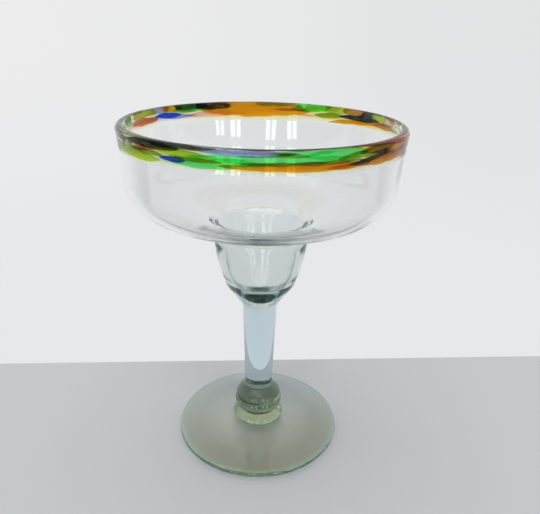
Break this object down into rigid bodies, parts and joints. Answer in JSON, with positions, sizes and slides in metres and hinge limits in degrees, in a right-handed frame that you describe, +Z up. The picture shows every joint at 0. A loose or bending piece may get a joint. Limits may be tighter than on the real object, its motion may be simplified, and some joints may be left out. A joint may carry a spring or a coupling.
{
  "type": "margarita glass",
  "caption": "Hand-made margarita glass: a wide shallow bowl over a thick-walled well, a solid stem with a knop and a collar, a broad foot, and a lip rolled in coloured glass chips.",
  "frame": {"origin": "centre of the circle that the foot stands on, at table level", "axes": "+Z up along the stem to the lip; -Y is the side seen in the picture, with the amber and emerald chips in the middle; +X is the viewer's right"},
  "size_m": [0.14, 0.14, 0.182],
  "materials": {
    "foot_glass": "clear glass with a faint grey-green tint",
    "collar_glass": "clear glass with a faint yellow-green tint",
    "knop_glass": "clear glass with a faint grey-green tint",
    "stem_glass": "clear glass",
    "well_glass": "clear glass",
    "bowl_glass": "clear glass",
    "lip_glass": "clear glass, fire polished",
    "amber": "transparent amber glass",
    "emerald": "transparent green glass",
    "leaf": "transparent yellow-green glass",
    "olive": "deep olive glass",
    "rust": "transparent red-brown glass",
    "cobalt": "transparent blue glass",
    "lilac": "milky lilac glass",
    "rose": "milky pink glass",
    "plum": "nearly black purple glass"
  },
  "bodies": {
    "root": {"foot": "foot_glass", "collar": "collar_glass", "knop": "knop_glass", "stem": "stem_glass", "well": "well_glass", "bowl": "bowl_glass", "lip": "lip_glass", "amber_chips": "amber", "emerald_chips": "emerald", "leaf_chips": "leaf", "olive_chips": "olive", "rust_chips": "rust", "cobalt_chips": "cobalt", "lilac_chips": "lilac", "rose_chips": "rose", "plum_chips": "plum"}
  },
  "joints": []
}
